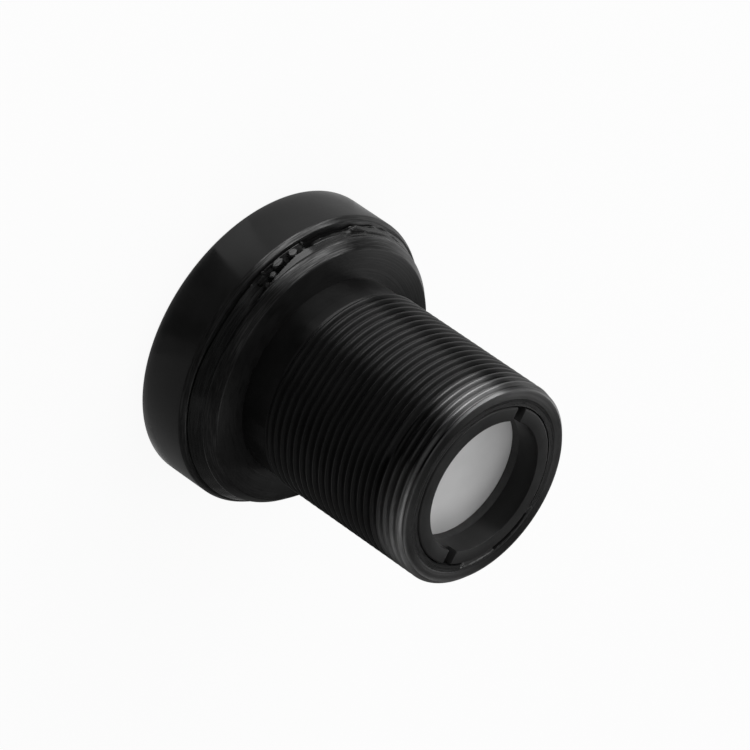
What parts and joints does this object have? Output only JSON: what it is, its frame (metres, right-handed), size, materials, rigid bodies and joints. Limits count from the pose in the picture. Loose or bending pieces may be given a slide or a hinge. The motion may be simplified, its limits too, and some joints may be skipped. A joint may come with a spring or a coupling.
{
  "type": "board camera lens",
  "caption": "Fixed-focus board camera lens that screws into a holder: black finely threaded barrel, wide front cap, flanged shoulder, glass elements and a slotted ring over the rear filter.",
  "frame": {"origin": "centre of the cap's flat front face, on which the lens stands", "axes": "+Z along the optical axis from the front face to the threaded rear end, +X through the spanner slots of the rear ring"},
  "size_m": [0.0176, 0.0176, 0.0175],
  "materials": {
    "barrel_anodising": "black anodised, satin, finely turned",
    "cap_anodising": "black anodised, fine matt",
    "ring_anodising": "black anodised, satin",
    "spacer_blackening": "blackened, matt",
    "stop_blackening": "blackened, matt",
    "adhesive": "cured black adhesive, glossy and lumpy",
    "filter_glass": "polished, coated to reflect infrared",
    "coated_glass": "polished, with an antireflection coating"
  },
  "bodies": {
    "root": {"barrel": "barrel_anodising", "front_cap": "cap_anodising", "adhesive_bead": "adhesive", "retaining_ring": "ring_anodising", "filter_spacer": "spacer_blackening", "ir_filter": "filter_glass", "front_element": "coated_glass", "front_spacer": "spacer_blackening", "second_element": "coated_glass", "middle_spacer": "spacer_blackening", "third_element": "coated_glass", "aperture_stop": "stop_blackening", "stop_spacer": "spacer_blackening", "doublet_crown": "coated_glass", "doublet_flint": "coated_glass", "rear_spacer": "spacer_blackening", "rear_element": "coated_glass"}
  },
  "joints": []
}
